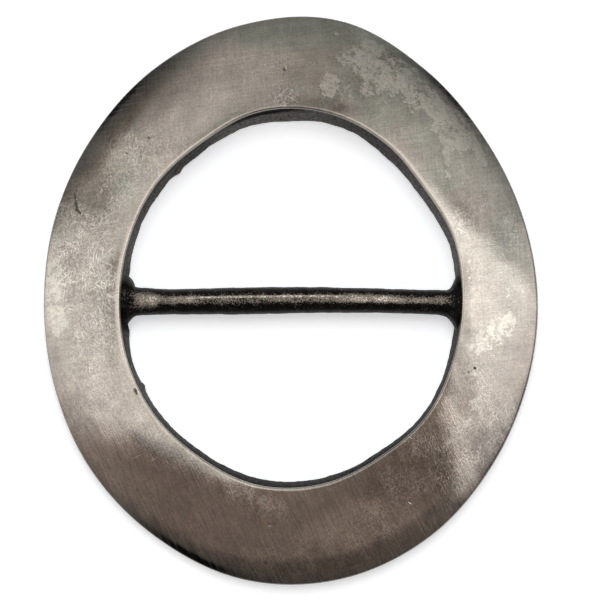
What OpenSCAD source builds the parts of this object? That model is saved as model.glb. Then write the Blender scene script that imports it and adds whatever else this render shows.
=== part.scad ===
// Plaid brooch: a hand-finished oval ring with a domed face and a round bar
// across the back of its hole. The plaid comes up through one half of the hole,
// over the bar, and down through the other half. It is one casting.
// The brooch lies on its flat back, face up, with its long way along Y.

/* [Brooch] */
// Overall height, along Y
brooch_h = 80; // [64:1:100]
// Thickness at the edge of the hole
lip_h = 4.7; // [4.6:0.1:6]
// Thickness at the outer rim, before its edge rolls over
rim_h = 2.6; // [2.4:0.1:3.4]
// How much of the face's rise is domed, from a plain cone at 0 to a full dome at 1
dome = 0.7; // [0:0.05:1]

/* [Edges] */
// Width of the band at the rim that rolls over
roll_w = 4; // [2:0.5:5]
// Radius of the crisp edge round the rim
rim_edge = 0.35; // [0.2:0.05:0.5]
// Radius of the polished edge round the hole
lip_edge = 0.3; // [0.2:0.05:0.4]
// Radius of the edges of the back
back_edge = 0.3; // [0.2:0.05:0.4]

/* [Bar] */
// Thickness of the bar at its middle
bar_d = 3.5; // [2.5:0.1:3.8]
// Height of the bar's underside above the back
bar_lift = 0.25; // [0.1:0.05:0.3]
// Radius of the fillet where the bar grows out of the ring
joint_r = 1.5; // [0.8:0.1:2]

/* [Fineness] */
// Sections round the ring
ring_sections = 120; // [72:12:144]
// Points along the face, from the rim to the hole
face_points = 9; // [5:1:12]
// Sides of the bar
bar_sides = 32; // [16:4:40]

/* [Hidden] */

// The ring at every 20 degrees, anticlockwise from +X, at a height of 80 mm:
// reach of the rim, of the hole's edge on the face and of its edge on the back,
// all from the middle; then how far the rolled edge falls, and how far the
// hole's edge stands above or below its usual height.
REACH_RIM = 0;
REACH_LIP = 1;
REACH_FOOT = 2;
ROLL_FALL = 3;
LIP_RISE = 4;
RING = [
    [34.6, 23.8, 23.2, 0.15,  0.00],
    [34.7, 24.2, 23.7, 0.30,  0.05],
    [35.7, 24.2, 23.6, 0.55,  0.10],
    [37.9, 25.6, 24.8, 0.70,  0.05],
    [40.3, 26.6, 25.8, 0.40,  0.00],
    [39.7, 26.6, 25.6, 0.25, -0.05],
    [38.2, 25.2, 24.7, 0.75,  0.00],
    [36.4, 24.7, 24.1, 0.85,  0.10],
    [35.2, 24.0, 23.5, 0.45,  0.05],
    [34.6, 23.8, 22.9, 0.15,  0.00],
    [35.2, 24.2, 23.6, 0.20, -0.05],
    [36.6, 24.8, 24.2, 0.45,  0.00],
    [38.0, 25.3, 24.6, 0.80,  0.05],
    [39.4, 26.2, 25.3, 0.75,  0.10],
    [39.4, 26.0, 25.2, 0.55,  0.05],
    [38.2, 25.1, 24.5, 0.45,  0.00],
    [36.4, 24.8, 24.4, 0.30, -0.05],
    [35.1, 24.0, 23.6, 0.20,  0.00],
];
drawn_h = 80;
size = brooch_h / drawn_h;

// The bar from one end to the other: place along X, how far its middle lies
// off the line y = 0, and its thickness as a share of bar_d.
BAR_PLACE = 0;
BAR_OFF = 1;
BAR_SHARE = 2;
BAR = [
    [-23.0, -0.05, 1.10],
    [-20.5, -0.10, 1.05],
    [-17.0, -0.15, 0.97],
    [-12.0, -0.10, 1.00],
    [ -7.0, -0.05, 1.05],
    [  0.0,  0.05, 1.03],
    [  6.0,  0.05, 1.00],
    [ 12.5, -0.05, 0.97],
    [ 17.0, -0.20, 0.97],
    [ 20.5, -0.30, 1.00],
    [ 23.0, -0.35, 1.03],
];

// The joint at each end of the bar: its side of the hole, its row of BAR, the
// angle of its wall, and its fillet's radius as a share of joint_r.
JOINT_SIDE = 0;
JOINT_ROW = 1;
JOINT_ANGLE = 2;
JOINT_SHARE = 3;
JOINTS = [
    [-1,            0, 180, 0.75],
    [ 1, len(BAR) - 1,   0, 1.10],
];
joint_steps = 6;

// At the wall a joint starts this high and has come up this share of the way from
// the bar's top to the face, and its root goes this far into the wall.
joint_low = 0.05;
joint_rise = 0.35;
joint_root = 1.5;

pewter = [0.62, 0.60, 0.56];
slice_t = 0.02;
edge_steps = 3;

// Where the face leaves the rim's edge and where it meets the hole's edge, as
// directions from the middle of each edge's rounding, in degrees up from outwards.
face_from = 60;
face_to = 85;

// Smooth value t of the way from b to c, where a and d are the values on either side.
function smooth_between(a, b, c, d, t) =
    (2 * b + (c - a) * t + (2 * a - 5 * b + 4 * c - d) * t * t
        + (3 * b - a - 3 * c + d) * t * t * t) / 2;

// A column of RING at any angle.
function ring_at(angle, column) =
    let (rows = len(RING),
         place = angle * rows / 360,
         k = floor(place))
    smooth_between(RING[(k + rows - 1) % rows][column], RING[k % rows][column],
                   RING[(k + 1) % rows][column], RING[(k + 2) % rows][column],
                   place - k);

// A quarter-round edge between two directions, as points about its centre.
function rounded(centre, radius, from, to) =
    [for (i = [0 : edge_steps])
        let (a = from + (to - from) * i / edge_steps)
        centre + radius * [cos(a), sin(a)]];

// Height of the face some share of the way in from the rim to the hole.
function face_height(share, width, lip_z, fall) =
    let (rise = lip_z - rim_h,
         domed = (1 - dome) * share + dome * (1 - pow(1 - share, 2)),
         rolled = max(0, 1 - share * width / (roll_w * size)))
    rim_h + rise * domed - fall * pow(rolled, 2);

// One section of the ring, as [reach, height] points, from the hole's edge on
// the back, out to the rim, in over the face and down the hole's wall.
function section(angle) =
    let (rim = ring_at(angle, REACH_RIM) * size,
         lip = ring_at(angle, REACH_LIP) * size,
         foot = ring_at(angle, REACH_FOOT) * size,
         fall = ring_at(angle, ROLL_FALL),
         lip_z = lip_h + ring_at(angle, LIP_RISE),
         face_w = rim - lip - rim_edge - lip_edge,
         rim_z = face_height(0, face_w, lip_z, fall),
         wall_lean = atan((lip - foot) / lip_z))
    concat(
        rounded([foot + back_edge, back_edge], back_edge, 180, 270),
        rounded([rim - back_edge, back_edge], back_edge, 270, 360),
        rounded([rim - rim_edge, rim_z - rim_edge], rim_edge, 0, face_from),
        [for (i = [1 : face_points])
            let (share = i / (face_points + 1))
            [rim - rim_edge - share * face_w, face_height(share, face_w, lip_z, fall)]],
        rounded([lip + lip_edge, lip_z - lip_edge], lip_edge, face_to, 180 - wall_lean));

// The ring, swept through all its sections.
module ring() {
    angles = [for (i = [0 : ring_sections - 1]) 360 * i / ring_sections];
    sections = [for (angle = angles) section(angle)];
    count = len(sections[0]);
    points = [for (i = [0 : ring_sections - 1], p = sections[i])
        [p[0] * cos(angles[i]), p[0] * sin(angles[i]), p[1]]];
    faces = [for (i = [0 : ring_sections - 1], j = [0 : count - 1])
        let (next_i = (i + 1) % ring_sections, next_j = (j + 1) % count,
             a = i * count + j, b = i * count + next_j,
             c = next_i * count + next_j, d = next_i * count + j)
        each [[a, b, c], [a, c, d]]];
    color(pewter) polyhedron(points, faces, convexity = 6);
}

// A thin upright slice of the bar, across X, of a width and between two heights.
module bar_slice(x, y, width, low, high) {
    translate([x, y, (low + high) / 2]) rotate([90, 0, 90])
        linear_extrude(slice_t) scale([width / (high - low), 1])
            circle(d = high - low, $fn = bar_sides);
}

// A slice of the bar where one row of BAR stands.
module bar_at(row) {
    bar_slice(row[BAR_PLACE] * size, row[BAR_OFF] * size,
              bar_d * row[BAR_SHARE], bar_lift, bar_lift + bar_d);
}

// A slice of a joint, some way along its fillet or into the wall. It has spread
// as far as the inside of a quarter circle has, part of the way to the wall.
module joint_at(joint, part, beyond = 0) {
    row = BAR[joint[JOINT_ROW]];
    radius = joint_r * joint[JOINT_SHARE];
    wall = ring_at(joint[JOINT_ANGLE], REACH_FOOT) * size;
    spread = 1 - sqrt(1 - part * part);
    bar_top = bar_lift + bar_d;
    bar_slice(joint[JOINT_SIDE] * (wall - radius * (1 - part) + beyond),
              row[BAR_OFF] * size,
              bar_d * row[BAR_SHARE] + 2 * radius * spread,
              bar_lift + (joint_low - bar_lift) * spread,
              bar_top + (lip_h - bar_top) * joint_rise * spread);
}

// The bar, with the fillets by which it grows out of the hole's wall.
module bar() {
    color(pewter) {
        for (i = [1 : len(BAR) - 1]) hull() {
            bar_at(BAR[i - 1]);
            bar_at(BAR[i]);
        }
        for (joint = JOINTS, i = [1 : joint_steps]) hull() {
            joint_at(joint, (i - 1) / joint_steps);
            joint_at(joint, i / joint_steps);
        }
        for (joint = JOINTS) hull() {
            joint_at(joint, 1);
            joint_at(joint, 1, joint_root);
        }
    }
}

// The whole casting, with the middle of its outline over the origin.
module brooch() {
    angles = [for (i = [0 : ring_sections - 1]) 360 * i / ring_sections];
    xs = [for (a = angles) ring_at(a, REACH_RIM) * size * cos(a)];
    ys = [for (a = angles) ring_at(a, REACH_RIM) * size * sin(a)];
    translate([-(max(xs) + min(xs)) / 2, -(max(ys) + min(ys)) / 2, 0]) {
        ring();
        bar();
    }
}

brooch();
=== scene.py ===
import math

import bmesh
import bpy
from mathutils import Matrix, Vector, noise


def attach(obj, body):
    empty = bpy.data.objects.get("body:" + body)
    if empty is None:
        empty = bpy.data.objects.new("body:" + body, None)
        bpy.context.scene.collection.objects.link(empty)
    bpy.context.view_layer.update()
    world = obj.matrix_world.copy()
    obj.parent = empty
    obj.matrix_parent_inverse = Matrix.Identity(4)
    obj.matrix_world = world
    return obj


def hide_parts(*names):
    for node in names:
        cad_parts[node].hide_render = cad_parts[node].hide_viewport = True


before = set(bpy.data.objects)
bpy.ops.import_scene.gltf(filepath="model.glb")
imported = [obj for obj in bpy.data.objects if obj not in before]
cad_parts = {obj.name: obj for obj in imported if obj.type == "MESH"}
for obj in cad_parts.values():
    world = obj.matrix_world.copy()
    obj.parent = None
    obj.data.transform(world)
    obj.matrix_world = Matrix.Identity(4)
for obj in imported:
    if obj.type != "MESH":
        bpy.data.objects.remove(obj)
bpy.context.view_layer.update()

MM = 0.001

# The same named sizes as the part's source, in millimetres.
LIP_H = 4.7
RIM_H = 2.6
DOME = 0.7
ROLL_W = 4.0
RIM_EDGE = 0.35
LIP_EDGE = 0.3
BACK_EDGE = 0.3
BAR_D = 3.5
BAR_LIFT = 0.25

# Where the middle of the outline lies from the point that the reaches are measured from.
MIDDLE = Vector((0.003, 0.366, 0))

# The ring every 20 degrees: reach of the rim, of the hole's edge on the face and on the
# back, how far the rolled edge falls, and how far the hole's edge stands up.
RIM, LIP, FOOT, FALL, RISE = range(5)
RING = [
    (34.6, 23.8, 23.2, 0.15, 0.00),
    (34.7, 24.2, 23.7, 0.30, 0.05),
    (35.7, 24.2, 23.6, 0.55, 0.10),
    (37.9, 25.6, 24.8, 0.70, 0.05),
    (40.3, 26.6, 25.8, 0.40, 0.00),
    (39.7, 26.6, 25.6, 0.25, -0.05),
    (38.2, 25.2, 24.7, 0.75, 0.00),
    (36.4, 24.7, 24.1, 0.85, 0.10),
    (35.2, 24.0, 23.5, 0.45, 0.05),
    (34.6, 23.8, 22.9, 0.15, 0.00),
    (35.2, 24.2, 23.6, 0.20, -0.05),
    (36.6, 24.8, 24.2, 0.45, 0.00),
    (38.0, 25.3, 24.6, 0.80, 0.05),
    (39.4, 26.2, 25.3, 0.75, 0.10),
    (39.4, 26.0, 25.2, 0.55, 0.05),
    (38.2, 25.1, 24.5, 0.45, 0.00),
    (36.4, 24.8, 24.4, 0.30, -0.05),
    (35.1, 24.0, 23.6, 0.20, 0.00),
]

# The bar: place along X, how far its middle lies off y = 0, thickness as a share of BAR_D.
PLACE, OFF, SHARE = range(3)
BAR = [
    (-23.0, -0.05, 1.10),
    (-20.5, -0.10, 1.05),
    (-17.0, -0.15, 0.97),
    (-12.0, -0.10, 1.00),
    (-7.0, -0.05, 1.05),
    (0.0, 0.05, 1.03),
    (6.0, 0.05, 1.00),
    (12.5, -0.05, 0.97),
    (17.0, -0.20, 0.97),
    (20.5, -0.30, 1.00),
    (23.0, -0.35, 1.03),
]


def smooth_between(a, b, c, d, t):
    """Smooth value t of the way from b to c, where a and d are the values on either side."""
    return (2 * b + (c - a) * t + (2 * a - 5 * b + 4 * c - d) * t * t
            + (3 * b - a - 3 * c + d) * t ** 3) / 2


def ring_at(angle, column):
    """A column of RING at an angle."""
    place = angle * len(RING) / 360
    k = math.floor(place)
    around = [RING[(k + step) % len(RING)][column] for step in (-1, 0, 1, 2)]
    return smooth_between(*around, place - k)


def bar_at(x, column):
    """A column of BAR at a place along X."""
    last = len(BAR) - 1
    k = max(0, min(last - 1, sum(row[PLACE] <= x for row in BAR) - 1))
    t = (x - BAR[k][PLACE]) / (BAR[k + 1][PLACE] - BAR[k][PLACE])
    around = [BAR[max(0, min(last, k + step))][column] for step in (-1, 0, 1, 2)]
    return smooth_between(*around, max(0.0, min(1.0, t)))


def blend(low, high, value):
    """0 below low, 1 above high, and a soft step between."""
    t = max(0.0, min(1.0, (value - low) / (high - low)))
    return t * t * (3 - 2 * t)


# The unevenness that casting leaves: how far apart its bumps are and how high, both in mm,
# and a seed.
FACE_BUMPS = [(9.0, 0.028, 1.7), (2.6, 0.004, 4.1)]
WALL_BUMPS = [(2.2, 0.09, 7.3), (0.7, 0.06, 3.9)]
BAR_BUMPS = [(0.45, 0.03, 5.5), (1.6, 0.05, 8.8)]
BAR_END_BUMPS = [(0.9, 0.20, 2.2), (0.4, 0.09, 6.1)]


def uneven(place, bumps):
    """A smooth random height over a surface."""
    return sum(height * noise.noise(place / apart + Vector((seed, -seed, 2 * seed)))
               for apart, height, seed in bumps)


def turn_from(angle, middle):
    """How far an angle is from another, in degrees, the short way round."""
    return (angle - middle + 180) % 360 - 180


# Stretches of the ring's section, in the order that the section is walked, and how many
# steps each takes: the hole's edge on the back, the back, the rim's lower edge, the rim's
# side, the rim's upper edge, the face, the hole's edge on the face and the hole's wall.
FOOT_EDGE, BACK, HEM, SIDE, RIM_ROUND, FACE, LIP_ROUND, WALL = range(8)
STEPS = [4, 8, 3, 6, 5, 62, 8, 20]

# The round tube that the ring is made from: sections round the hole, reach and half width.
SECTIONS = 640
TUBE_REACH = 30.0
TUBE_HALF = 5.0

# The share of the face next to each of its edges, and of the wall next to the face, over
# which the casting's unevenness fades out.
FACE_CALM = 0.06
WALL_CALM = 0.15

# How quickly a nub, a pit and a patch fade towards their reach.
NUB_FADE = 1.4
PIT_FADE = 1.2
PATCH_FADE = 0.8

# Nubs that the casting left on the hole's wall, and hollows: angle, share of the way down
# the wall, how far each stands out or, below 0, goes in, and its spread along and down the
# wall, in mm.
NUBS = [
    (131.0, 0.85, 0.42, 0.95, 1.2),
    (210.0, 0.80, 0.38, 0.75, 1.2),
    (123.5, 0.90, 0.20, 2.20, 1.2),
    (107.0, 0.90, -0.15, 2.20, 1.3),
    (90.0, 0.90, 0.30, 3.60, 1.4),
    (69.0, 0.90, -0.20, 2.20, 1.4),
    (56.0, 0.90, 0.26, 2.00, 1.3),
    (169.0, 0.75, 0.25, 0.80, 1.6),
    (190.5, 0.80, 0.28, 0.60, 1.4),
    (201.0, 0.80, -0.30, 2.60, 1.6),
    (343.0, 0.85, 0.12, 2.60, 1.5),
]

# Worn and tarnished patches of the face, some of them painted light and shade: middle and
# reach in mm, slant and strength. Flakes are islands of pale oxide with crisp edges, scuffs
# are short curved scratches, pale is polish gone milky, cleaned and painted light is metal
# made lighter or, below 0, darker, partly as cleaner or dirtier metal and partly as painted
# highlights and painted shade along the borders of the face's bright and dark reflections,
# greenish is a greener grey or, below 0, a warmer one, and tarnish is darker metal in islands.
PATCHES = {
    "flakes": [
        (10.8, 34.4, 2.9, 2.2, -20, 0.95),
        (10.8, 32.0, 2.5, 2.0, 0, 1.00),
        (7.4, 33.6, 1.8, 1.3, 0, 0.85),
        (5.4, 29.8, 2.0, 1.9, 0, 1.00),
        (10.8, 29.0, 2.2, 1.5, 20, 1.00),
        (14.6, 30.9, 3.2, 2.6, -38, 1.00),
        (15.8, 32.8, 2.4, 1.3, -38, 0.85),
        (18.6, 28.3, 3.8, 3.2, -42, 1.00),
        (21.7, 25.2, 3.3, 2.9, -52, 1.00),
        (23.7, 21.9, 2.8, 2.3, -60, 0.97),
        (21.7, 20.5, 0.8, 2.5, 8, 0.90),
        (22.0, 17.4, 0.6, 1.8, 0, 0.85),
        (26.6, 20.2, 2.8, 0.8, -62, 0.95),
        (7.2, 37.5, 2.6, 0.8, -12, 0.90),
        (11.4, 36.1, 1.3, 0.7, -25, 0.70),
        (-21.0, 20.2, 2.8, 2.0, 35, 0.50),
        (25.0, 17.9, 0.8, 1.1, 0, 0.60),
    ],
    "scuffs": [
        (-29.7, 8.6, 5.3, 7.3, 0, 1.00),
        (-27.0, -0.5, 4.2, 7.8, 0, 0.95),
        (-31.5, 3.5, 2.6, 7.5, 0, 0.80),
        (-27.7, -12.4, 4.7, 6.1, 0, 0.45),
        (-23.5, 18.4, 6.4, 4.2, 45, 1.00),
        (-16.8, 20.5, 3.6, 1.7, 20, 0.55),
        (24.7, -14.5, 3.9, 6.4, -15, 0.40),
        (23.9, -22.2, 3.1, 5.3, -20, 1.00),
        (28.1, -18.7, 2.8, 4.7, -30, 0.90),
        (18.7, -22.2, 4.7, 3.9, 30, 0.82),
        (14.6, -27.0, 6.4, 3.3, 30, 0.88),
        (10.4, -31.9, 5.6, 2.8, 15, 0.85),
        (29.2, -6.8, 5.6, 7.5, 0, 0.10),
        (26.7, 6.5, 4.7, 7.5, -30, 0.22),
        (24.3, 11.4, 1.7, 4.7, -35, 0.50),
        (31.3, 9.6, 2.2, 3.9, -20, 0.40),
        (-0.8, 28.0, 1.8, 1.7, 0, 1.00),
        (-1.3, 32.5, 1.3, 1.1, 0, 0.90),
        (6.2, 28.6, 2.8, 2.2, 0, 0.70),
        (-5.2, -28.4, 5.6, 1.9, -22, 1.00),
        (1.3, -36.1, 13.3, 2.8, 5, 0.55),
        (-15.4, -20.1, 8.9, 3.3, -30, 0.50),
        (-12.6, 28.8, 9.8, 4.2, 25, 0.12),
        (12.5, 31.6, 5.6, 4.2, -35, 0.40),
    ],
    "pale": [
        (-33.4, 2.0, 1.5, 5.8, 0, 1.00),
        (-32.3, -4.0, 1.8, 3.2, 0, 1.00),
        (-29.7, 10.1, 3.3, 1.0, -8, 0.85),
        (-23.1, 13.0, 1.0, 0.8, 0, 0.80),
        (24.6, -16.1, 1.3, 5.6, -22, 0.90),
        (25.0, -10.6, 1.3, 1.0, 0, 0.50),
        (26.7, -7.5, 1.7, 2.5, 0, 0.35),
        (22.9, -20.6, 2.8, 1.7, 0, 0.75),
        (22.1, -19.0, 1.2, 1.5, 0, 0.90),
        (-9.6, -26.2, 2.2, 1.0, -38, 0.65),
        (-6.6, -27.3, 2.5, 1.1, -30, 0.90),
        (-4.0, -28.4, 2.5, 1.1, -20, 0.95),
        (-1.5, -29.8, 2.0, 1.1, -10, 0.75),
        (-17.9, 16.3, 2.5, 1.4, 40, 0.70),
        (29.9, -13.8, 2.0, 4.2, 0, 0.40),
        (28.2, -5.2, 3.6, 2.2, 40, 1.00),
        (30.4, -3.2, 1.1, 2.6, 0, 0.90),
        (32.8, 0.8, 1.0, 0.5, 20, 0.85),
        (26.3, -6.6, 2.0, 1.0, 40, 0.85),
        (28.2, -8.6, 1.5, 0.7, 20, 0.60),
        (30.2, 0.6, 0.7, 1.4, 0, 0.90),
        (24.9, 3.0, 0.9, 3.4, 0, 0.78),
        (31.0, 8.8, 1.0, 1.7, 20, 0.85),
        (-21.0, 19.1, 3.9, 2.0, 45, 0.60),
    ],
    # Partly cleaner and dirtier metal, partly painted highlights and painted shade that shape
    # the face's bright and dark reflections.
    "cleaned_and_painted_light": [
        (33.0, 6.0, 2.2, 5.5, -10, 0.90),
        (9.0, -31.4, 7.0, 2.7, 12, 1.50),
        (-4.5, -26.6, 7.5, 2.3, -7, 0.60),
        (-6.2, -25.8, 4.2, 1.3, -12, 2.00),
        (-5.0, -29.3, 5.0, 1.7, -33, 0.50),
        (-4.3, -28.0, 3.4, 1.0, -18, 1.60),
        (-24.5, -24.5, 6.5, 3.5, -45, 0.55),
        (12.5, 37.0, 4.5, 1.8, -20, 0.80),
        (-9.0, 34.0, 4.0, 2.8, 15, 0.50),
        (31.0, -7.0, 3.4, 6.5, 0, -0.35),
        (28.4, -21.6, 4.2, 2.8, 52, -0.90),
        (18.0, -32.0, 6.0, 3.2, 30, 0.60),
        (-24.8, -2.0, 1.1, 7.5, 0, -0.95),
        (-34.0, -8.5, 1.8, 5.0, 8, -0.40),
        (-31.0, -9.0, 2.5, 4.0, 10, -0.25),
        (-34.3, 4.5, 1.0, 4.5, -8, 0.40),
        (25.0, -12.5, 1.0, 3.8, 10, -0.80),
        (24.1, 1.5, 0.9, 3.6, 0, -0.90),
        (23.7, -9.0, 1.0, 3.6, 14, -1.00),
        (30.8, 0.5, 1.8, 3.0, 0, -0.30),
        (18.3, 17.2, 3.4, 1.0, -52, 0.35),
        (23.3, 12.5, 4.4, 1.1, -50, -0.75),
        (31.5, 4.4, 3.2, 1.0, -35, -0.75),
        (12.3, 22.3, 4.0, 1.0, -30, 0.35),
        (3.8, 26.8, 4.6, 1.3, -6, -1.00),
        (-19.2, 17.2, 5.0, 2.4, 48, 1.00),
        (-23.8, 19.2, 2.2, 2.0, 0, 1.20),
        (24.0, -23.4, 1.0, 3.8, 14, 1.50),
        (22.0, -19.2, 1.2, 1.6, 0, 1.50),
        (21.7, -16.6, 1.2, 4.4, 20, 2.00),
        (26.5, -21.4, 1.2, 3.8, 12, -0.80),
        (25.1, -26.8, 1.7, 2.0, 40, 2.00),
        (21.7, -26.2, 1.8, 3.0, 20, -0.90),
        (-15.6, -19.5, 3.6, 0.9, -42, 1.20),
        (-17.8, -21.4, 4.6, 1.1, -22, -0.95),
        (-23.6, -20.6, 2.4, 1.8, -45, 1.20),
        (-19.5, 26.0, 6.0, 1.5, 42, -0.65),
        (-24.1, 4.3, 0.9, 3.0, -8, -1.00),
        (-26.5, 0.5, 1.3, 6.0, 0, -0.55),
        (-30.8, 3.0, 1.6, 3.0, 0, -0.50),
        (-27.7, -15.0, 3.5, 1.0, -15, -0.65),
        (-3.5, 33.6, 4.5, 2.0, 0, 0.80),
        (-18.0, 31.0, 5.0, 3.0, 30, -0.40),
        (-3.0, 36.8, 8.0, 2.2, 0, -0.22),
        (-32.6, 0.0, 1.3, 5.0, 0, 0.60),
        (-30.6, 6.8, 2.0, 1.5, 0, -0.60),
        (24.3, -4.0, 0.8, 2.2, 4, -0.90),
    ],
    "greenish": [
        (0.0, 38.0, 9.0, 3.5, 0, 0.80),
        (21.5, 20.5, 7.0, 3.5, -55, 0.60),
        (-9.0, 30.5, 7.0, 4.5, 20, -1.00),
        (-15.5, 24.5, 6.0, 4.5, 45, -0.90),
    ],
    "tarnish": [
        (-27.7, 13.7, 3.6, 1.5, 15, 0.80),
        (-24.6, 4.4, 0.8, 1.5, -8, 0.90),
        (-30.8, 4.5, 1.3, 2.0, 0, 0.50),
        (13.9, 33.7, 2.2, 1.3, -25, 1.00),
        (10.2, 29.4, 1.3, 1.3, 0, 0.90),
        (18.5, 28.1, 1.4, 0.7, -50, 0.80),
        (23.9, 23.7, 1.7, 0.8, -45, 0.85),
        (6.6, 26.5, 2.0, 0.8, 0, 0.90),
        (6.6, 35.8, 1.7, 1.3, 0, 0.70),
        (23.9, -14.4, 0.9, 3.0, 20, 0.85),
        (20.9, -23.4, 1.2, 3.2, 12, 0.55),
        (15.5, -23.1, 5.6, 3.3, 35, 0.55),
        (20.8, -28.4, 3.3, 2.2, 35, 0.75),
        (12.5, -31.2, 3.6, 1.4, 15, 0.35),
        (-21.0, 27.2, 3.6, 1.3, 40, 0.60),
        (-23.8, 23.8, 2.8, 1.3, 50, 0.60),
        (-23.7, -1.9, 1.1, 6.1, 0, 0.55),
        (-25.9, 23.2, 1.3, 2.0, 40, 0.60),
        (23.6, -9.5, 0.9, 4.0, 14, 0.50),
        (2.4, 27.1, 3.0, 1.0, 0, 0.70),
        (16.7, 25.8, 1.1, 2.0, -40, 0.50),
        (8.6, 30.9, 0.8, 1.1, 0, 0.60),
    ],
}

# Pits and nicks of the face: both ends in mm, half their width, and their depth.
MARKS = [
    (-19.9, 22.3, -19.9, 22.3, 0.15, 0.08),
    (-30.4, 14.7, -30.2, 13.4, 0.09, 0.07),
    (-30.2, 13.4, -30.0, 12.4, 0.20, 0.14),
    (-30.0, 12.4, -29.5, 11.8, 0.14, 0.11),
    (-21.6, -13.1, -21.3, -13.5, 0.14, 0.12),
    (25.4, -10.0, 25.6, -10.1, 0.09, 0.08),
    (24.6, -10.6, 24.6, -10.6, 0.08, 0.05),
    (16.4, -28.5, 16.7, -28.7, 0.07, 0.05),
    (-1.0, 32.2, -0.8, 31.9, 0.16, 0.08),
    (-2.9, -31.7, -2.9, -31.7, 0.12, 0.06),
    (-23.0, 20.2, -22.9, 20.1, 0.10, 0.05),
    (-0.7, -35.6, 0.9, -38.7, 0.05, 0.012),
    (11.0, -30.7, 10.9, -32.3, 0.05, 0.012),
    (12.3, -28.1, 13.0, -29.7, 0.05, 0.012),
]


def quarter(centre, radius, start, end, t):
    """A point part of the way round an edge's rounding."""
    a = math.radians(start + (end - start) * t)
    return centre[0] + radius * math.cos(a), centre[1] + radius * math.sin(a)


# Where the rim stands further out than the table has it: angle and spread, and how far in mm.
FULLER_TURN, FULLER_SPREAD, FULLER_OUT = 283, 32, 0.10

# Where the rounding of the hole's edge starts: the face still rises a little to it.
LIP_START = 87


def section_point(angle, stretch, t):
    """Reach and height, in mm, of a place on the ring's section."""
    rim, lip, foot = (ring_at(angle, column) for column in (RIM, LIP, FOOT))
    rim += FULLER_OUT * math.exp(-(turn_from(angle, FULLER_TURN) / FULLER_SPREAD) ** 4)
    fall = ring_at(angle, FALL)
    lip_z = LIP_H + ring_at(angle, RISE)
    rise = lip_z - RIM_H
    inner = lip + LIP_EDGE
    slope = rise * (1 + DOME) / (rim - inner) + 2 * fall / ROLL_W
    lean = 90 - math.degrees(math.atan(slope))
    outer = rim - RIM_EDGE * (1 - math.cos(math.radians(lean)))
    rim_z = RIM_H - fall
    wall_lean = math.degrees(math.atan((lip - foot) / lip_z))
    edge_z = rim_z - RIM_EDGE * math.sin(math.radians(lean))
    if stretch == FOOT_EDGE:
        return quarter((foot + BACK_EDGE, BACK_EDGE), BACK_EDGE, 180, 270, t)
    if stretch == BACK:
        return foot + BACK_EDGE + (rim - foot - 2 * BACK_EDGE) * t, 0.0
    if stretch == HEM:
        return quarter((rim - BACK_EDGE, BACK_EDGE), BACK_EDGE, 270, 360, t)
    if stretch == SIDE:
        return rim, BACK_EDGE + (edge_z - BACK_EDGE) * t
    if stretch == RIM_ROUND:
        return quarter((rim - RIM_EDGE, edge_z), RIM_EDGE, 0, lean, t)
    if stretch == FACE:
        width = outer - inner
        rolled = max(0.0, 1 - t * width / ROLL_W)
        domed = (1 - DOME) * t + DOME * (1 - (1 - t) ** 2)
        return outer - width * t, RIM_H + rise * domed - fall * rolled ** 2
    if stretch == LIP_ROUND:
        return quarter((inner, lip_z - LIP_EDGE), LIP_EDGE, LIP_START, 180 - wall_lean, t)
    return (lip + (foot - lip) * t, lip_z - LIP_EDGE + (BACK_EDGE - lip_z + LIP_EDGE) * t)


def ring_place(angle, stretch, t):
    """Where a point of the ring goes, in mm, with the unevenness that casting leaves."""
    reach, height = section_point(angle, stretch, t)
    a = math.radians(angle)
    outward = Vector((math.cos(a), math.sin(a), 0))
    place = outward * reach + Vector((0, 0, height))
    if stretch == FACE:
        calm = blend(0, FACE_CALM, t) * blend(0, FACE_CALM, 1 - t)
        place.z += calm * uneven(place, FACE_BUMPS)
    if stretch in (WALL, FOOT_EDGE):
        calm = blend(0, WALL_CALM, t) if stretch == WALL else 1.0
        down = t if stretch == WALL else 1.0
        out = uneven(place, WALL_BUMPS)
        for turn, nub_down, stand, along, drop in NUBS:
            d_along = math.radians(turn_from(angle, turn)) * reach / along
            d_down = (down - nub_down) * LIP_H / drop
            out += stand * math.exp(-(d_along ** 2 + d_down ** 2) * NUB_FADE)
        place -= outward * out * calm
    return place - MIDDLE


# How far a pit or nick reaches from its first end at most, and how deep it has to be to be
# all black, in mm.
MARK_REACH = 5
BLACK_DEPTH = 0.05


def mark_at(x, y):
    """How far the nearest pit or nick's edge is, how deep it is here, and that as a share."""
    nearest, depth, share = 2.0 * MARK_REACH, 0.0, 0.0
    for x0, y0, x1, y1, half, deep in MARKS:
        if abs(x - x0) > MARK_REACH or abs(y - y0) > MARK_REACH:
            continue
        start, way = Vector((x0, y0)), Vector((x1 - x0, y1 - y0))
        here = Vector((x, y)) - start
        along = max(0.0, min(1.0, here.dot(way) / max(way.length_squared, 1e-9)))
        away = (here - way * along).length
        sunk = math.exp(-(away / half) ** 2 * PIT_FADE)
        nearest = min(nearest, away - half)
        depth, share = max(depth, deep * sunk), max(share, sunk * min(1.0, deep / BLACK_DEPTH))
    return nearest, depth, share


def patch_strength(rows, x, y):
    """How strong the patches in a list are at a place of the face."""
    clear = 1.0
    for mid_x, mid_y, long, cross, slant, strength in rows:
        a = math.radians(slant)
        along = (x - mid_x) * math.cos(a) + (y - mid_y) * math.sin(a)
        aside = (y - mid_y) * math.cos(a) - (x - mid_x) * math.sin(a)
        away = (along / long) ** 2 + (aside / cross) ** 2
        clear *= 1 - strength * math.exp(-away ** 2 * PATCH_FADE)
    return 1 - clear


def around(values, angle):
    """Smooth value, at an angle, of a list that runs evenly round the ring."""
    place = angle / 360 * len(values)
    k = math.floor(place)
    near = [values[(k + step) % len(values)] for step in (-1, 0, 1, 2)]
    return smooth_between(*near, place - k)
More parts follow.
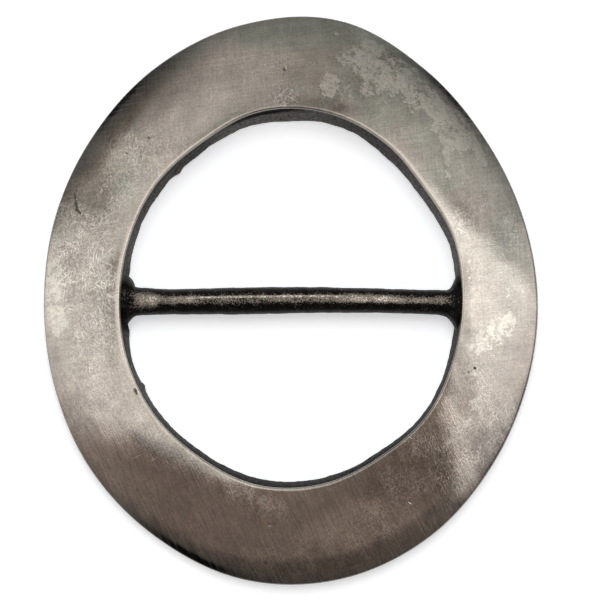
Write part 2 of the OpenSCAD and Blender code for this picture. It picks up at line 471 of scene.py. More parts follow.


# How bright the hole's edge is, every 30 degrees, partly worn polish and partly a painted
# highlight on its rounding, where that starts as a share of the way across the face, and how
# much sooner where it is brightest.
POLISH_AND_HIGHLIGHT = [0.25, 1.00, 0.85, 0.12, 0.85, 0.82, 1.00, 0.85, 0.55, 0.45, 0.00, 0.12]
EDGE_START, EDGE_SOONER = 0.982, 0.028

# How dark the rim is where it rolls over, every 10 degrees: black that the brush left, with
# painted shade that deepens the rolled edge's dark reflection. Then the bands where it is
# nearly all black, right at the edge: angle, spread and strength, and the shares of the way
# in between which a band fades out.
RIM_BLACK_AND_SHADE = [0.0, 0.0, 0.1, 0.3, 0.6, 0.7, 0.4, 0.0, 0.0, 0.0, 0.0, 0.35,
              1.25, 1.65, 0.95, 0.8, 0.2, 0.0, 0.0, 0.0, 0.1, 0.1, 0.1, 0.0,
              0.5, 0.5, 0.65, 0.55, 0.45, 0.2, 0.05, 0.1, 0.2, 0.1, 0.1, 0.0]
BLACK_BANDS = [(54, 10, 1.2), (132, 8, 0.8), (248.5, 8.5, 2.6)]
BAND_FADE = (0.03, 0.09)


# How broad the face is, taken as the same all round.
FACE_W = 11.5


def rolled_share(inward):
    """1 at the rim, falling to 0 where the rolled edge ends, at a share of the way in."""
    return max(0.0, 1 - inward * FACE_W / ROLL_W)


def black_and_shade_near_rim(angle, stretch, t):
    """How dark a place near the rim is: black left by the brush, deepened by painted shade."""
    if stretch not in (RIM_ROUND, FACE):
        return 0.0
    inward = t if stretch == FACE else 0.0
    left = max(0.0, around(RIM_BLACK_AND_SHADE, angle)) * rolled_share(inward) ** 1.5
    band = sum(strength * math.exp(-(turn_from(angle, middle) / spread) ** 2)
               for middle, spread, strength in BLACK_BANDS)
    return left + band * (1 - blend(*BAND_FADE, inward))


def edge_share(angle, stretch, t):
    """How bright a place on the section's two edges is: partly worn polish and partly a painted
    highlight, also down the top of the wall on the upper side of the hole.
    """
    worn = around(POLISH_AND_HIGHLIGHT, angle)
    if stretch == FACE:
        return worn * blend(EDGE_START - EDGE_SOONER * blend(0.8, 1, worn), 1.0, t)
    if stretch == LIP_ROUND:
        return 0.1 + 0.9 * worn
    if stretch == WALL:
        return worn * (1 - blend(0.0, 0.1, t)) * blend(-0.5, 0.3, math.sin(math.radians(angle)))
    return 0.5 if stretch == RIM_ROUND else 0.0


# How dark the wall is, every 15 degrees, darkest round the lower side of the hole.
WALL_BLACK = [0.40, 0.10, 0.20, 0.30, 0.46, 0.40, 0.05, 0.00, 0.50, 0.44, 0.38, 0.28,
              0.40, 0.48, 0.34, 0.54, 0.65, 0.70, 0.70, 0.70, 0.74, 0.64, 0.56, 0.50]


# Where the wall is blackest: the angle of the top of the hole, where painted shade darkens
# the wall under the edge, and those of the bar's ends, how far the black reaches to either
# side of them, and the shares of the way down between which the painted shade fades out at
# the top.
TOP_TURN, TOP_SPREAD = 98, 14
TOP_FADE = (0.18, 0.48)
END_TURNS, END_SPREAD = (-1.5, 182.5), 9.5


def black_share(angle, stretch, t):
    """How dark a place on the wall is: darker towards the lower side of the hole, with painted
    shade making it somewhat darker under the edge and a lot darker there at the top of the
    hole, and all black round the bar's ends."""
    down = {FOOT_EDGE: 1.0, WALL: t}.get(stretch, 0.0)
    # Painted shade under the edge at the top of the hole.
    top = math.exp(-(turn_from(angle, TOP_TURN) / TOP_SPREAD) ** 2)
    top *= 1 - blend(*TOP_FADE, down)
    ends = max(math.exp(-(turn_from(angle, end) / END_SPREAD) ** 4) for end in END_TURNS)
    return max(around(WALL_BLACK, angle) * (1.05 - 0.3 * down), top, ends)


def make_ring():
    """The ring: a round tube of faces, whose every point then goes to its own place."""
    walk = [(s, i / n) for s, n in enumerate(STEPS) for i in range(n)]
    bm = bmesh.new()
    bmesh.ops.create_circle(bm, segments=len(walk), radius=TUBE_HALF)
    stand_up = (Matrix.Translation((TUBE_REACH, 0, 0))
                @ Matrix.Rotation(math.radians(90), 4, "X"))
    bmesh.ops.transform(bm, matrix=stand_up, verts=bm.verts)
    bmesh.ops.spin(bm, geom=bm.verts[:] + bm.edges[:], axis=(0, 0, 1), cent=(0, 0, 0),
                   angle=math.radians(360), steps=SECTIONS, use_merge=True)
    walked, edge, black, missed_and_shade, rolled = (
        bm.verts.layers.float.new(name)
        for name in ("walked", "edge", "black", "missed_and_shade", "rolled"))
    for v in bm.verts:
        angle = math.degrees(math.atan2(v.co.y, v.co.x)) % 360
        turn = math.atan2(v.co.z, math.hypot(v.co.x, v.co.y) - TUBE_REACH) % math.tau
        stretch, t = walk[round(turn / math.tau * len(walk)) % len(walk)]
        v.co, v[walked] = ring_place(angle, stretch, t), stretch + t
        v[edge] = edge_share(angle, stretch, t)
        v[black] = black_share(angle, stretch, t)
        v[missed_and_shade] = black_and_shade_near_rim(angle, stretch, t)
        if stretch in (RIM_ROUND, FACE):
            v[rolled] = ring_at(angle, FALL) * rolled_share(t if stretch == FACE else 0.0)
    bmesh.ops.recalc_face_normals(bm, faces=bm.faces)
    sink_marks(bm, walked)
    for face in bm.faces:
        face.smooth = True
        stretches = [v[walked] for v in face.verts]
        wraps = max(stretches) - min(stretches) > len(STEPS) / 2
        middle = 0.0 if wraps else sum(stretches) / len(stretches)
        if middle > WALL - 0.05 or middle < BACK:
            face.material_index = 1
        elif middle < SIDE:
            face.material_index = 2
    bmesh.ops.scale(bm, vec=(MM, MM, MM), verts=bm.verts)
    return bm


# How near a mark the face is made finer, and then finer again, in mm.
FINER = (0.45, 0.22)


def sink_marks(bm, walked):
    """Gives the face finer faces round its pits and nicks, and sinks them. Both ends of an
    edge are asked, because which of them comes first differs from run to run."""
    for reach in FINER:
        near = [e for e in bm.edges if all(FACE < v[walked] < LIP_ROUND for v in e.verts)
                and min(mark_at(v.co.x, v.co.y)[0] for v in e.verts) < reach]
        bmesh.ops.subdivide_edges(bm, edges=near, cuts=1, use_grid_fill=True)
    pit = bm.verts.layers.float.new("pit")
    layers = {name: bm.verts.layers.float.new(name) for name in PATCHES}
    for v in bm.verts:
        if not FACE <= v[walked] < WALL:
            continue
        if v[walked] < LIP_ROUND:
            depth, v[pit] = mark_at(v.co.x, v.co.y)[1:]
            v.co.z -= depth
        for name, layer in layers.items():
            v[layer] = patch_strength(PATCHES[name], v.co.x, v.co.y)


# The bar: half its length with its ends inside the wall, its sides and its rings, how far
# its crest leans towards the top of the photograph, and the angles off the crest between
# which the grey of its flanks, a painted reflection of the floor, comes in.
BAR_HALF = 24.4
BAR_SIDES, BAR_RINGS = 72, 260
CREST_LEAN = -4
FLANK_FROM, FLANK_TO = 44, 68


def make_bar():
    """The bar: a round rod of many rings, swelling into the wall at both ends."""
    bm = bmesh.new()
    bmesh.ops.create_cone(bm, cap_ends=True, segments=BAR_SIDES, radius1=1.0, radius2=1.0,
                          depth=2.0)
    bmesh.ops.rotate(bm, cent=(0, 0, 0), matrix=Matrix.Rotation(math.radians(90), 3, "Y"),
                     verts=bm.verts)
    long_edges = [e for e in bm.edges if abs(e.verts[0].co.x - e.verts[1].co.x) > 1]
    bmesh.ops.subdivide_edges(bm, edges=long_edges, cuts=BAR_RINGS, use_grid_fill=True)
    worn, flank_reflection = (bm.verts.layers.float.new(name) for name in ("worn", "flank_reflection"))
    for v in bm.verts:
        x, turn = v.co.x * BAR_HALF, math.atan2(v.co.z, v.co.y)
        lean = 90 - math.degrees(turn)
        v.co, v[worn] = bar_place(x, turn) * MM, bar_wear(x, lean)
        v[flank_reflection] = blend(FLANK_FROM, FLANK_TO, abs(lean - CREST_LEAN))
    for face in bm.faces:
        face.smooth = True
    bmesh.ops.recalc_face_normals(bm, faces=bm.faces)
    return bm


# The fillets at the bar's ends: side of the hole, above the bar in the photograph or
# below it, how far it reaches along the bar and along the wall, and its bend: a hollow
# curve above 1, a straight slope at 1 and a swelling below that.
FILLETS = [
    (-1, 1, 1.00, 1.50, 0.4),
    (-1, -1, 2.20, 1.25, 3.0),
    (1, 1, 1.40, 2.10, 2.0),
    (1, -1, 3.00, 2.30, 3.0),
]

# How much higher and lower the bar's ends are than its middle, how much flatter it is
# underneath, and how far it stays off the table, in mm.
ROOT_UP, ROOT_DOWN = 0.35, 0.20
UNDER_FLAT = 0.05
OFF_TABLE = 0.03

# How much fuller the bar is in mm along its lower side in the photograph, mostly at the left.
BELLY = 0.17

# Where along the bar the rougher metal of its ends starts, and where it is all rough.
ROUGH_FROM, ROUGH_TO = 20.2, 22.8


def bar_place(x, turn):
    """Where a point of the bar goes, in mm, with the unevenness that casting leaves."""
    side = -1 if x < 0 else 1
    wall = ring_at(180 if x < 0 else 0, FOOT)
    y, z = math.cos(turn), math.sin(turn)
    wide = BAR_D * bar_at(x, SHARE) / 2 + BELLY * (0.6 - x / 40) * max(0.0, -y)
    tall = BAR_D / 2
    grow_up = 0.0
    for end, over, along, up, bend in FILLETS:
        if end == side and over * y > 0:
            grow = max(0.0, min(1.0, 1 - (wall - abs(x)) / along)) ** bend
            wide += up * grow * abs(y) ** 0.5
            grow_up = max(grow_up, grow)
    middle = Vector((x, bar_at(x, OFF), BAR_LIFT + tall))
    high = tall + (ROOT_UP * grow_up if z > 0 else ROOT_DOWN * grow_up - UNDER_FLAT)
    out = Vector((0, y, z))
    place = middle + Vector((0, y * wide, z * high))
    near_end = blend(ROUGH_FROM, ROUGH_TO, abs(x))
    place += out * (uneven(place, BAR_BUMPS) + near_end * uneven(place, BAR_END_BUMPS))
    place.z = max(place.z, OFF_TABLE)
    return place - MIDDLE


# How far the bar is rubbed, which also lays its painted highlight along the crest: place
# along X, towards the top of the photograph, how far it reaches along and around the bar, in
# mm and degrees, and how strongly.
BAR_RUBBED_AND_HIGHLIGHT = [
    (-20.3, -1, 1.6, 36, 0.68),
    (-16.4, 2, 3.1, 19, 0.60),
    (-9.0, -3, 6.5, 17, 0.32),
    (3.0, 0, 7.0, 17, 0.48),
    (11.6, 5, 4.0, 20, 0.80),
    (18.2, 2, 3.0, 15, 0.54),
    (21.3, 9, 1.2, 22, 0.34),
    (-7.5, 12, 7.5, 4.5, 0.96),
    (3.5, 13, 4.5, 5, 0.82),
    (-1.0, 18, 20.0, 15, 0.20),
]


def bar_wear(x, lean):
    """How far the bar is rubbed, and so where its painted highlight goes, at a place along it
    and a lean off its crest.
    """
    clear = 1.0
    for mid, toward, along, around, strength in BAR_RUBBED_AND_HIGHLIGHT:
        away = ((x - mid) / along) ** 4 + ((lean - toward) / around) ** 4
        clear *= 1 - strength * math.exp(-away * PATCH_FADE)
    return 1 - clear


def finish_piece(name, bm, materials):
    """A piece from its mesh, riding on the one body in place of the one solid."""
    mesh = bpy.data.meshes.new(name)
    bm.to_mesh(mesh)
    bm.free()
    piece = bpy.data.objects.new(name, mesh)
    bpy.context.scene.collection.objects.link(piece)
    for material in materials:
        mesh.materials.append(material)
    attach(piece, "root")
    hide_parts("brooch")
    return piece


def linear(hex_colour):
    """An sRGB hex colour as linear values, with an alpha of 1."""
    parts = [int(hex_colour[i:i + 2], 16) / 255 for i in (1, 3, 5)]
    return [c / 12.92 if c <= 0.04045 else ((c + 0.055) / 1.055) ** 2.4 for c in parts] + [1.0]


def add(tree, kind, inputs=None, **settings):
    """Adds a shader node with its settings, and its inputs as values or links. A node
    given as an input stands for its first output."""
    made = tree.nodes.new("ShaderNode" + kind)
    for key, value in settings.items():
        setattr(made, key, value)
    for key, value in (inputs or {}).items():
        if isinstance(value, bpy.types.Node):
            value = value.outputs[0]
        if isinstance(value, bpy.types.NodeSocket):
            tree.links.new(value, made.inputs[key])
        else:
            made.inputs[key].default_value = value
    return made


def new_material(name):
    """A bare material, its shader, and its Object coordinates in mm."""
    material = bpy.data.materials.new(name)
    material.use_nodes = True
    tree = material.node_tree
    tree.nodes.clear()
    shader = add(tree, "BsdfPrincipled")
    add(tree, "OutputMaterial", {"Surface": shader.outputs["BSDF"]})
    metres = add(tree, "TexCoord").outputs["Object"]
    place = add(tree, "VectorMath", {0: metres, "Scale": 1000.0}, operation="SCALE")
    return material, tree, shader, place.outputs["Vector"]


# Sockets of the Mix node for colours, which shares its names with other kinds. Those of a
# Map Range go by number: 1 and 2 are the range it takes, 3 and 4 the one it gives.
HOW_MUCH, UNDER, OVER, MIXED = 0, 6, 7, 2


def brushed_pewter():
    """The face: pewter brushed by hand, with crossing lines over the top and slanting ones
    below, which catch the light as a fine hatch. Where it has been handled it is scuffed
    with short curved scratches, and where it has lain damp a pale oxide stands on it in
    crisp, veined flakes."""
    material, tree, shader, place = new_material("brushed_pewter")
    zone = {name: add(tree, "Attribute", attribute_name=name).outputs["Fac"]
            for name in ("flakes", "scuffs", "pale", "cleaned_and_painted_light", "greenish", "tarnish",
                         "missed_and_shade", "rolled", "pit", "edge")}
    up = add(tree, "SeparateXYZ", {0: place}).outputs["Y"]
    lower = add(tree, "MapRange", {0: up, 1: -6.0, 2: -20.0},
                interpolation_type="SMOOTHSTEP")

    # Clouds of warm and greenish grey, some 9 mm across and greenest over the top.
    cloud = add(tree, "TexNoise",
                {"Vector": place, "Scale": 0.11, "Detail": 3.0, "Roughness": 0.55})
    cloud = add(tree, "MapRange", {0: cloud.outputs["Fac"], 1: 0.36, 2: 0.64})
    green = add(tree, "MapRange", {0: up, 1: -4.0, 2: 16.0, 3: 0.3, 4: 1.0})
    cloud = add(tree, "Math", {0: cloud, 1: green, 2: zone["greenish"]},
                operation="MULTIPLY_ADD", use_clamp=True)
    metal = add(tree, "Mix", {HOW_MUCH: cloud, UNDER: linear("#817c78"),
                              OVER: linear("#7b7c76")}, data_type="RGBA")
    mottle = add(tree, "TexNoise",
                 {"Vector": place, "Scale": 0.34, "Detail": 6.0, "Roughness": 0.66})

    # Brush lines: each grain's length and width in mm, and its slant.
    brushed = []
    for length, width, slant in ((9.0, 0.22, 8), (7.0, 0.24, 93), (3.5, 0.20, -64)):
        stretched = add(tree, "Mapping",
                        {"Vector": place, "Rotation": (0, 0, math.radians(slant)),
                         "Scale": (length, width, 4.0)}, vector_type="TEXTURE")
        lines = add(tree, "TexNoise", {"Vector": stretched, "Scale": 1.0,
                                       "Detail": 4.0, "Roughness": 0.7})
        brushed.append(lines.outputs["Fac"])
    crossed = add(tree, "Mix", {0: 0.42, 2: brushed[0], 3: brushed[1]}, data_type="FLOAT")
    lines = add(tree, "Mix", {0: lower, 2: crossed, 3: brushed[2]}, data_type="FLOAT")
    hatch = add(tree, "Math", {0: lines, 1: 0.5}, operation="SUBTRACT")

    # Specks of the metal's grain, drawn coarser than they are so that they show.
    specks = add(tree, "TexNoise", {"Vector": place, "Scale": 3.6, "Detail": 3.0,
                                    "Roughness": 0.75}).outputs["Fac"]

    # Scuffs: short curved scratches in four slants, drawn about twice as wide as they are
    # so that they show, and thick in some places and thin in others.
    rubs = add(tree, "MapRange", {0: specks, 1: 0.56, 2: 0.68, 4: 0.6})
    for slant in (38, 82, -28, -68):
        stretched = add(tree, "Mapping",
                        {"Vector": place, "Rotation": (0, 0, math.radians(slant)),
                         "Scale": (1.3, 0.12, 2.0)}, vector_type="TEXTURE")
        strokes = add(tree, "TexNoise", {"Vector": stretched, "Scale": 1.0,
                                         "Detail": 3.0, "Distortion": 0.7})
        strokes = add(tree, "MapRange", {0: strokes.outputs["Fac"], 1: 0.59, 2: 0.665})
        rubs = add(tree, "Math", {0: rubs, 1: strokes}, operation="MAXIMUM")
    heavy = add(tree, "TexNoise", {"Vector": place, "Scale": 0.33, "Detail": 4.0,
                                   "Roughness": 0.6})
    heavy = add(tree, "MapRange", {0: heavy.outputs["Fac"], 1: 0.40, 2: 0.62, 3: 0.25})
    rubs = add(tree, "Math", {0: rubs, 1: heavy}, operation="MULTIPLY")
    scuffs = add(tree, "Math", {0: rubs, 1: zone["scuffs"]}, operation="MULTIPLY")

    # A few long, thin scratches.
    scratches = []
    for slant in (-58, 24):
        stretched = add(tree, "Mapping",
                        {"Vector": place, "Rotation": (0, 0, math.radians(slant)),
                         "Scale": (5.0, 0.16, 9.0)}, vector_type="TEXTURE")
        thin = add(tree, "TexNoise", {"Vector": stretched, "Scale": 1.0,
                                      "Detail": 1.0, "Distortion": 0.2})
        thin = add(tree, "MapRange", {0: thin.outputs["Fac"], 1: 0.71, 2: 0.80})
        scratches.append(thin)
    scratches = add(tree, "Math", {0: scratches[0], 1: scratches[1]}, operation="MAXIMUM")

    # Flakes, pale smears and tarnish: islands of a fine-edged noise, as many as the zone
    # allows. The flakes are streaked along the rim, and thin veins run through them.
    frayed = add(tree, "TexNoise",
                 {"Vector": place, "Scale": 1.6, "Detail": 4.0, "Roughness": 0.7,
                  "Distortion": 0.8}).outputs["Fac"]
    streaked = add(tree, "Mapping",
                   {"Vector": place, "Rotation": (0, 0, math.radians(-50)),
                    "Scale": (1.9, 0.95, 1.0)}, vector_type="TEXTURE")
    islands = []
    for name, where, grain, threshold in (("flakes", streaked, 0.55, 0.41),
                                          ("pale", place, 0.75, 0.46),
                                          ("tarnish", place, 0.40, 0.46)):
        shape = add(tree, "TexNoise", {"Vector": where, "Scale": grain, "Detail": 9.0,
                                       "Roughness": 0.72, "Distortion": 0.6})
        room = add(tree, "Math", {0: zone[name], 1: 0.36, 2: -0.53},
                   operation="MULTIPLY_ADD")
        room = add(tree, "Math", {0: frayed, 1: 0.34, 2: room}, operation="MULTIPLY_ADD")
        level = add(tree, "Math", {0: shape.outputs["Fac"], 1: room}, operation="ADD")
        island = add(tree, "MapRange", {0: level, 1: threshold, 2: threshold + 0.03})
        islands.append(island)
    flakes, smears, dark = islands
    veins = add(tree, "TexNoise", {"Vector": streaked, "Scale": 0.8, "Detail": 3.0,
                                   "Roughness": 0.6, "Distortion": 2.2})
    veins = add(tree, "Math", {0: veins.outputs["Fac"], 1: 0.5}, operation="SUBTRACT")
    veins = add(tree, "Math", {0: veins}, operation="ABSOLUTE")
    veins = add(tree, "MapRange", {0: veins, 1: 0.01, 2: 0.03, 3: 0.1})
    patchy = add(tree, "MapRange", {0: frayed, 1: 0.35, 2: 0.60, 3: 0.72})
    flakes = add(tree, "Math", {0: flakes, 1: veins}, operation="MULTIPLY")
    flakes = add(tree, "Math", {0: flakes, 1: patchy}, operation="MULTIPLY")
    curled = add(tree, "MapRange", {0: frayed, 1: 0.42, 2: 0.58, 3: 0.55})
    smears = add(tree, "Math", {0: smears, 1: curled}, operation="MULTIPLY")

    # The black left on the rolled edge, deepened with painted shade and thinned along the brush
    # lines, and the bright edge, worn and with a painted highlight, which is nicked.
    missed_and_shade = add(tree, "Math", {0: hatch, 1: -2.4, 2: 1.0}, operation="MULTIPLY_ADD")
    missed_and_shade = add(tree, "Math", {0: zone["missed_and_shade"], 1: missed_and_shade}, operation="MULTIPLY")
    nicked = add(tree, "MapRange", {0: frayed, 1: 0.30, 2: 0.52, 3: 0.5})
    edge = add(tree, "Math", {0: zone["edge"], 1: nicked}, operation="MULTIPLY")

    # Colour: metal, lightened and darkened in patches with some painted highlight and painted
    # shade, then tarnish, scratches, oxide, the rim's black with painted shade, the worn edge
    # with its painted highlight, and the black in the pits.
    contrast = add(tree, "MapRange", {0: lower, 3: 1.1, 4: 1.5})
    shaded = add(tree, "Math", {0: hatch, 1: contrast, 2: 1.0}, operation="MULTIPLY_ADD")
    grainy = add(tree, "MapRange", {0: zone["scuffs"], 3: 1.0, 4: 2.2})
    speckled = add(tree, "Math", {0: specks, 1: 0.5}, operation="SUBTRACT")
    speckled = add(tree, "Math", {0: speckled, 1: grainy, 2: 1.0}, operation="MULTIPLY_ADD")
    mottled = add(tree, "MapRange",
                  {0: mottle.outputs["Fac"], 1: 0.3, 2: 0.7, 3: 0.85, 4: 1.17})
    worn = add(tree, "MapRange", {0: zone["scuffs"], 3: 1.0, 4: 0.84})
    # Lighter and darker patches: partly cleaner and dirtier metal, partly painted highlight and
    # painted shade.
    cleaned_and_painted_light = add(tree, "MapRange", {0: zone["cleaned_and_painted_light"], 1: -1.0, 2: 2.0, 3: 0.68, 4: 1.64})
    between = add(tree, "MapRange", {0: zone["flakes"], 3: 1.0, 4: 0.80})
    tone = shaded
    for more in (speckled, mottled, worn, cleaned_and_painted_light, between):
        tone = add(tree, "Math", {0: tone, 1: more}, operation="MULTIPLY")
    colour = add(tree, "VectorMath", {0: metal.outputs[MIXED], "Scale": tone},
                 operation="SCALE").outputs["Vector"]
    for much, strength, laid in ((zone["tarnish"], 0.30, "#4d453e"), (dark, 0.45, "#4c443d"),
                                 (scuffs, 0.80, "#bbb9b4"), (scratches, 0.25, "#bdb9b1"),
                                 (smears, 0.42, "#aeafa9"), (flakes, 0.88, "#95938d"),
                                 (missed_and_shade, 0.45, "#151716"), (edge, 0.80, "#cdc8be"),
                                 (zone["pit"], 0.85, "#191612")):
        share = add(tree, "Math", {0: much, 1: strength}, operation="MULTIPLY",
                    use_clamp=True)
        colour = add(tree, "Mix", {HOW_MUCH: share, UNDER: colour, OVER: linear(laid)},
                     data_type="RGBA").outputs[MIXED]
    tree.links.new(colour, shader.inputs["Base Color"])

    # Gloss: scratches, oxide, the rolled edge and the worn one are duller than the metal,
    # and so is the coarser brushing over the top.
    dull = add(tree, "MapRange", {0: lines, 1: 0.3, 2: 0.7, 3: 0.05, 4: 0.09})
    rolled = add(tree, "Math", {0: zone["rolled"], 1: 0.6}, operation="POWER")
    coarse = add(tree, "MapRange", {0: up, 1: 8.0, 2: 24.0})
    for much, more in ((scuffs, 0.12), (scratches, 0.1), (flakes, 0.12), (smears, 0.06),
                       (rolled, 0.30), (coarse, 0.09), (edge, 0.25)):
        dull = add(tree, "Math", {0: much, 1: more, 2: dull}, operation="MULTIPLY_ADD")
    tree.links.new(dull.outputs[0], shader.inputs["Roughness"])
    bare = add(tree, "Math", {0: flakes, 1: -0.2, 2: 1.0}, operation="MULTIPLY_ADD")
    for much, less in ((edge, -0.5), (zone["pit"], -0.8)):
        bare = add(tree, "Math", {0: much, 1: less, 2: bare}, operation="MULTIPLY_ADD")
    tree.links.new(bare.outputs[0], shader.inputs["Metallic"])

    # Relief: brush lines a few thousandths of a mm deep, with the flakes standing a little.
    height = add(tree, "Math", {0: flakes, 1: 0.35, 2: lines}, operation="MULTIPLY_ADD")
    height = add(tree, "Math", {0: specks, 1: 0.5, 2: height}, operation="MULTIPLY_ADD")
    bump = add(tree, "Bump", {"Height": height, "Distance": 0.006 * MM})
    tree.links.new(bump.outputs["Normal"], shader.inputs["Normal"])
    return material


def blackened_and_shaded_pewter():
    """The hole's wall: as cast, grainy, and black with the finish that was wiped off the
    face. It is blackest round the bar's ends and, as painted shade, under the edge at the top,
    and bright right at the edge, partly rubbed and partly a painted highlight."""
    material, tree, shader, place = new_material("blackened_and_shaded_pewter")
    black, edge = (add(tree, "Attribute", attribute_name=name).outputs["Fac"]
                   for name in ("black", "edge"))
    grain = add(tree, "TexNoise",
                {"Vector": place, "Scale": 1.6, "Detail": 5.0, "Roughness": 0.7})
    level = add(tree, "Math", {0: grain.outputs["Fac"], 1: 0.6, 2: black},
                operation="MULTIPLY_ADD")
    kept = add(tree, "MapRange", {0: level, 1: 0.45, 2: 1.05})
    mixed = add(tree, "Mix", {HOW_MUCH: kept, UNDER: linear("#686765"),
                              OVER: linear("#040404")}, data_type="RGBA")
    specks = add(tree, "TexNoise",
                 {"Vector": place, "Scale": 3.0, "Detail": 3.0, "Roughness": 0.75})
    speckled = add(tree, "MapRange",
                   {0: specks.outputs["Fac"], 1: 0.3, 2: 0.7, 3: 0.1, 4: 1.9})
    colour = add(tree, "VectorMath",
                 {0: mixed.outputs[MIXED], "Scale": speckled}, operation="SCALE")
    # Pale colour along the top of the wall: some rubbed wear, and a painted highlight.
    rubbed_and_highlit_edge = add(tree, "Math", {0: edge, 1: 0.8}, operation="MULTIPLY")
    colour = add(tree, "Mix", {HOW_MUCH: rubbed_and_highlit_edge, UNDER: colour.outputs["Vector"],
                               OVER: linear("#cdc8be")}, data_type="RGBA")
    tree.links.new(colour.outputs[MIXED], shader.inputs["Base Color"])
    shader.inputs["Roughness"].default_value = 0.75
    shader.inputs["Specular IOR Level"].default_value = 0.05
    bump = add(tree, "Bump", {"Height": specks.outputs["Fac"], "Distance": 0.08 * MM})
    tree.links.new(bump.outputs["Normal"], shader.inputs["Normal"])
    return material


def rubbed_bar_and_painted_light():
    """The bar: black and sandy from the casting, with its crest rubbed back to bright metal
    by the cloth, and a painted highlight along it in a broken line. The black is greyer down
    its sides, a painted reflection of the floor."""
    material, tree, shader, place = new_material("rubbed_bar_and_painted_light")
    worn, flank_reflection = (add(tree, "Attribute", attribute_name=name).outputs["Fac"]
                   for name in ("worn", "flank_reflection"))
    specks = add(tree, "TexNoise",
                 {"Vector": place, "Scale": 4.6, "Detail": 3.0, "Roughness": 0.75})
    patches = add(tree, "TexNoise",
                  {"Vector": place, "Scale": 0.9, "Detail": 3.0, "Roughness": 0.6})
    level = add(tree, "Math", {0: specks.outputs["Fac"], 1: 2.4, 2: -1.6},
                operation="MULTIPLY_ADD")
    level = add(tree, "Math", {0: patches.outputs["Fac"], 1: 0.8, 2: level},
                operation="MULTIPLY_ADD")
    level = add(tree, "Math", {0: level, 1: worn}, operation="ADD")
    bared = add(tree, "MapRange", {0: level, 1: 0.25, 2: 0.60})
    # Painted highlight: near-white where the crest is rubbed most.
    silver_highlight = add(tree, "MapRange", {0: level, 1: 0.88, 2: 1.18})
    sandy = add(tree, "MapRange", {0: specks.outputs["Fac"], 1: 0.54, 2: 0.68, 4: 0.25})
    black = add(tree, "Mix", {HOW_MUCH: sandy, UNDER: linear("#050504"),
                              OVER: linear("#4a4743")}, data_type="RGBA")
    # Painted reflection of the floor: the black goes grey down the flanks.
    black = add(tree, "Mix", {HOW_MUCH: flank_reflection, UNDER: black.outputs[MIXED],
                              OVER: linear("#363534")}, data_type="RGBA")
    mixed = add(tree, "Mix", {HOW_MUCH: bared, UNDER: black.outputs[MIXED],
                              OVER: linear("#7a756f")}, data_type="RGBA")
    mixed = add(tree, "Mix", {HOW_MUCH: silver_highlight, UNDER: mixed.outputs[MIXED],
                              OVER: linear("#ebe8df")}, data_type="RGBA")
    tree.links.new(mixed.outputs[MIXED], shader.inputs["Base Color"])
    tree.links.new(bared.outputs[0], shader.inputs["Metallic"])
    shader.inputs["Roughness"].default_value = 0.32
    shader.inputs["Specular IOR Level"].default_value = 0.06
    bump = add(tree, "Bump", {"Height": specks.outputs["Fac"], "Distance": 0.11 * MM})
    tree.links.new(bump.outputs["Normal"], shader.inputs["Normal"])
    return material


def plain_pewter():
    """The back, out to its rounded edge: pewter ground flat and left a plain, even grey,
    with a faint straight grain and a little dirt in it."""
    material, tree, shader, place = new_material("plain_pewter")
    stretched = add(tree, "Mapping", {"Vector": place, "Scale": (16.0, 0.34, 0.34)},
                    vector_type="TEXTURE")
    lines = add(tree, "TexNoise",
                {"Vector": stretched, "Scale": 1.0, "Detail": 4.0, "Roughness": 0.7})
    dirt = add(tree, "TexNoise",
               {"Vector": place, "Scale": 0.16, "Detail": 6.0, "Roughness": 0.6})
    dirty = add(tree, "MapRange", {0: dirt.outputs["Fac"], 1: 0.52, 2: 0.72})
    mixed = add(tree, "Mix", {HOW_MUCH: dirty, UNDER: linear("#807d76"),
                              OVER: linear("#544f49")}, data_type="RGBA")
    shaded = add(tree, "MapRange",
                 {0: lines.outputs["Fac"], 1: 0.3, 2: 0.7, 3: 0.85, 4: 1.12})
    colour = add(tree, "VectorMath",
                 {0: mixed.outputs[MIXED], "Scale": shaded}, operation="SCALE")
    tree.links.new(colour.outputs["Vector"], shader.inputs["Base Color"])
    shader.inputs["Metallic"].default_value = 1.0
    dull = add(tree, "MapRange", {0: dirty, 3: 0.32, 4: 0.5})
    tree.links.new(dull.outputs[0], shader.inputs["Roughness"])
    bump = add(tree, "Bump", {"Height": lines.outputs["Fac"], "Distance": 0.012 * MM})
    tree.links.new(bump.outputs["Normal"], shader.inputs["Normal"])
    return material


# How much light the paper gives off itself, which keeps it white.
FLOOR_GLOW = 0.55


def studio_paper():
    """The floor: matt white paper, lit so that only the soft shadows on it show."""
    material, tree, shader, place = new_material("studio_paper")
    fibre = add(tree, "TexNoise",
                {"Vector": place, "Scale": 0.9, "Detail": 4.0, "Roughness": 0.7})
    white = add(tree, "Mix", {HOW_MUCH: fibre.outputs["Fac"], UNDER: linear("#e9edf1"),
                              OVER: linear("#f2f6f9")}, data_type="RGBA")
    tree.links.new(white.outputs[MIXED], shader.inputs["Base Color"])
    shader.inputs["Roughness"].default_value = 0.9
    shader.inputs["Specular IOR Level"].default_value = 0.0
    shader.inputs["Emission Color"].default_value = linear("#f7fbfe")
    shader.inputs["Emission Strength"].default_value = FLOOR_GLOW
    return material


# The camera: how far away it is in mm, how many degrees it leans off straight down, its lens
# in mm, and its shift as a share of the picture's 600 pixels.
CAMERA_FAR = 320.0
CAMERA_TILT = 4.5
LENS = 136.13
SHIFT = (9.1 / 600, 1.3 / 600)


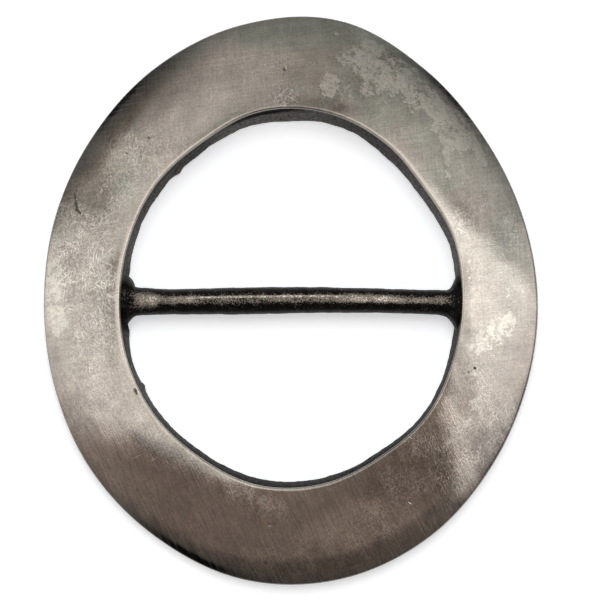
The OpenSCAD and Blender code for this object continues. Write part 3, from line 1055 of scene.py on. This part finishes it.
def set_camera():
    """The camera, nearly straight above the object."""
    data = bpy.data.cameras.new("camera")
    data.lens = LENS
    data.sensor_width = 36
    data.shift_x, data.shift_y = SHIFT
    data.clip_end = 20
    camera = bpy.data.objects.new("camera", data)
    bpy.context.scene.collection.objects.link(camera)
    tilt = math.radians(CAMERA_TILT)
    back = Vector((0, -math.sin(tilt), math.cos(tilt)))
    camera.location = (back * CAMERA_FAR - MIDDLE) * MM
    camera.rotation_euler = (tilt, 0, 0)
    bpy.context.scene.camera = camera


# Soft boxes: the middles of each one's lower and upper edges in metres, its width, its
# radiance and its colour. The face mirrors them, and their edges are the borders between
# its bright and dark parts. The fill lights the floor instead, from beyond the top.
SOFT_BOXES = {
    "east": ((0.791, -0.199, 0.60), (0.585, 0.745, 5.0), 0.689, 2.06, "#fffbf7"),
    "east_wide": ((1.009, 0.274, 0.60), (0.510, 0.915, 5.0), 1.021, 0.66, "#fffbf7"),
    "west": ((-1.344, 0.088, 0.60), (0.15, -0.09, 5.0), 0.746, 1.32, "#fbfdf9"),
    "north": ((0.557, 1.498, 0.60), (0.330, 0.106, 2.866), 3.208, 0.52, "#f4fffc"),
    "south": ((-1.50, -0.115, 0.60), (1.063, 0.205, 1.868), 2.144, 0.25, "#ffe6d8"),
    "west_low": ((-0.870, 0.424, 0.60), (-1.161, -0.500, 1.161), 2.547, 0.71, "#fffcf8"),
    "fill": ((0.0, 0.34, 2.46), (0.0, 1.86, 1.66), 1.4, 3.8, "#ffffff"),
}

# How bright the room is overhead and low down.
WORLD_GLOW = 0.29
LOW_GLOW = 0.15


def soft_box(name, low, high, width, radiance, colour):
    """A rectangular light whose underside faces the object."""
    low, high = Vector(low), Vector(high)
    length = (high - low).length
    data = bpy.data.lights.new(name, "AREA")
    data.shape = "RECTANGLE"
    data.size, data.size_y = width, length
    data.color = linear(colour)[:3]
    data.energy = radiance * math.pi * width * length
    light = bpy.data.objects.new(name, data)
    bpy.context.scene.collection.objects.link(light)
    middle = (low + high) / 2
    along = (high - low).normalized()
    away = (middle - middle.dot(along) * along).normalized()
    side = along.cross(away)
    turned = Matrix((side, along, away)).transposed().to_4x4()
    light.matrix_world = Matrix.Translation(middle) @ turned
    light.visible_camera = False
    light.visible_diffuse = name == "fill"
    light.visible_glossy = name != "fill"


def set_studio():
    """The paper on the table, the soft boxes and the room."""
    floor = bmesh.new()
    bmesh.ops.create_circle(floor, cap_ends=True, segments=64, radius=3.0)
    mesh = bpy.data.meshes.new("floor")
    floor.to_mesh(mesh)
    floor.free()
    sheet = bpy.data.objects.new("floor", mesh)
    bpy.context.scene.collection.objects.link(sheet)
    mesh.materials.append(studio_paper())

    for name, (low, high, width, radiance, colour) in SOFT_BOXES.items():
        soft_box(name, low, high, width, radiance, colour)

    world = bpy.data.worlds.new("studio")
    bpy.context.scene.world = world
    world.use_nodes = True
    tree = world.node_tree
    tree.nodes.clear()
    way = add(tree, "TexCoord").outputs["Generated"]
    up = add(tree, "SeparateXYZ", {0: way}).outputs["Z"]
    high = add(tree, "MapRange", {0: up, 1: 0.25, 2: 0.6}, interpolation_type="SMOOTHSTEP")
    tint = add(tree, "Mix", {HOW_MUCH: high, UNDER: linear("#f4f7f5"),
                             OVER: linear("#ffe6d8")}, data_type="RGBA")
    glow = add(tree, "MapRange", {0: high, 3: LOW_GLOW, 4: WORLD_GLOW})
    glow = add(tree, "Background", {"Color": tint.outputs[MIXED], "Strength": glow})
    add(tree, "OutputWorld", {"Surface": glow.outputs["Background"]})
    bpy.context.scene.view_settings.view_transform = "Standard"


finish_piece("ring", make_ring(), [brushed_pewter(), blackened_and_shaded_pewter(), plain_pewter()])
finish_piece("bar", make_bar(), [rubbed_bar_and_painted_light()])
set_camera()
set_studio()
